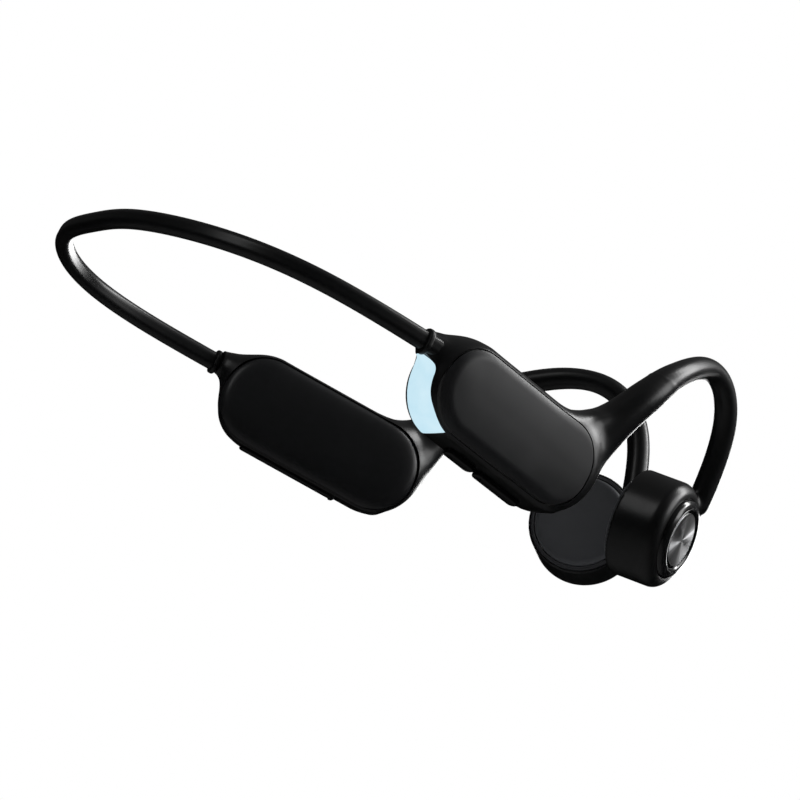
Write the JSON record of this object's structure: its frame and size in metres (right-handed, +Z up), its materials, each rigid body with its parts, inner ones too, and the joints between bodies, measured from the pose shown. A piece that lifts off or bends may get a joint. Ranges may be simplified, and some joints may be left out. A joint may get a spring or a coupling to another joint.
{
  "type": "bone conduction headphones",
  "caption": "Open-ear bone conduction headphones: springy neckband, slim side pods, ear hooks and round cheekbone transducers, with buttons, a light and a covered charging port.",
  "frame": {"origin": "middle of the underside of the bounding box", "axes": "+X to the wearer's front, +Y to the wearer's left, +Z up"},
  "size_m": [0.162, 0.1182, 0.0587],
  "materials": {
    "shell": "satin soft-touch black",
    "cover_plate": "graphite, fine satin",
    "inner_panel": "satin black",
    "foam": "matt black foam",
    "collar": "matt black",
    "sleeve": "satin black silicone",
    "spring_steel": "drawn",
    "cable": "matt",
    "barrel": "satin soft-touch black",
    "pad": "matt dark grey silicone",
    "lip_ring": "satin dark grey",
    "carrier": "moulded",
    "copper": "enamelled copper",
    "magnet": "nickel plated",
    "yoke_steel": "pressed",
    "trim": "gloss black",
    "spun_metal": "circular brushed",
    "switch": "moulded",
    "circuit_board": "solder mask green",
    "fastener": "plain",
    "microphone": "pressed can",
    "light_window": "translucent pale blue",
    "lamp": "clear epoxy",
    "button": "satin black",
    "socket_steel": "plain",
    "tongue": "moulded",
    "battery_pouch": "laminated foil",
    "port_cover": "satin black silicone"
  },
  "bodies": {
    "headset": {"battery": "battery_pouch", "button_board": "circuit_board", "button_switch": "switch", "charge_board": "circuit_board", "charging_socket": "socket_steel", "lamp_board": "circuit_board", "lamps": "lamp", "left_barrel": "barrel", "left_coil_carrier": "carrier", "left_ear_hook": "sleeve", "left_hook_cable": "cable", "left_hook_wire": "spring_steel", "left_inner_cover_gasket": "foam", "left_inner_cover_panel": "inner_panel", "left_magnet": "magnet", "left_metal_cap": "spun_metal", "left_neck_collar": "collar", "left_outer_cover_gasket": "foam", "left_outer_cover_plate": "cover_plate", "left_pad_lip_ring": "lip_ring", "left_pod_housing": "shell", "left_skin_pad": "pad", "left_suspension_spring": "spring_steel", "left_trim_ring": "trim", "left_voice_coil": "copper", "left_yoke": "yoke_steel", "light_window": "light_window", "main_board": "circuit_board", "microphone": "microphone", "neckband_cable": "cable", "neckband_sleeve": "sleeve", "neckband_wire": "spring_steel", "port_hinge_pin": "fastener", "right_barrel": "barrel", "right_board_screws": "fastener", "right_coil_carrier": "carrier", "right_ear_hook": "sleeve", "right_hook_cable": "cable", "right_hook_wire": "spring_steel", "right_inner_cover_gasket": "foam", "right_inner_cover_panel": "inner_panel", "right_magnet": "magnet", "right_neck_collar": "collar", "right_outer_cover_gasket": "foam", "right_outer_cover_plate": "cover_plate", "right_pad_lip_ring": "lip_ring", "right_pod_housing": "shell", "right_skin_pad": "pad", "right_suspension_spring": "spring_steel", "right_trim_ring": "trim", "right_voice_coil": "copper", "right_yoke": "yoke_steel", "socket_tongue": "tongue", "switch_board": "circuit_board", "volume_down_switch": "switch", "volume_up_switch": "switch"},
    "volume_up_key": {"volume_up_button": "button"},
    "volume_down_key": {"volume_down_button": "button"},
    "multifunction_key": {"multifunction_button": "spun_metal"},
    "port_flap": {"port_cover": "port_cover"}
  },
  "joints": [
    {"name": "volume_up_press", "type": "slide", "parent": "headset", "child": "volume_up_key", "axis": [0, 0, 1], "range_m": [0, 0.00035], "stiffness_N_per_m": 900, "springref_m": -0.0006},
    {"name": "volume_down_press", "type": "slide", "parent": "headset", "child": "volume_down_key", "axis": [0, 0, 1], "range_m": [0, 0.00035], "stiffness_N_per_m": 900, "springref_m": -0.0006},
    {"name": "multifunction_press", "type": "slide", "parent": "headset", "child": "multifunction_key", "axis": [-0.6652, 0.7466, 0], "range_m": [0, 0.0003], "stiffness_N_per_m": 900, "springref_m": -0.0006},
    {"name": "port_cover_hinge", "type": "hinge", "parent": "headset", "child": "port_flap", "pos_m": [0.01878, 0.04465, 0.0014], "axis": [-0.2521, -0.9677, 0], "range_deg": [0, 95]}
  ]
}
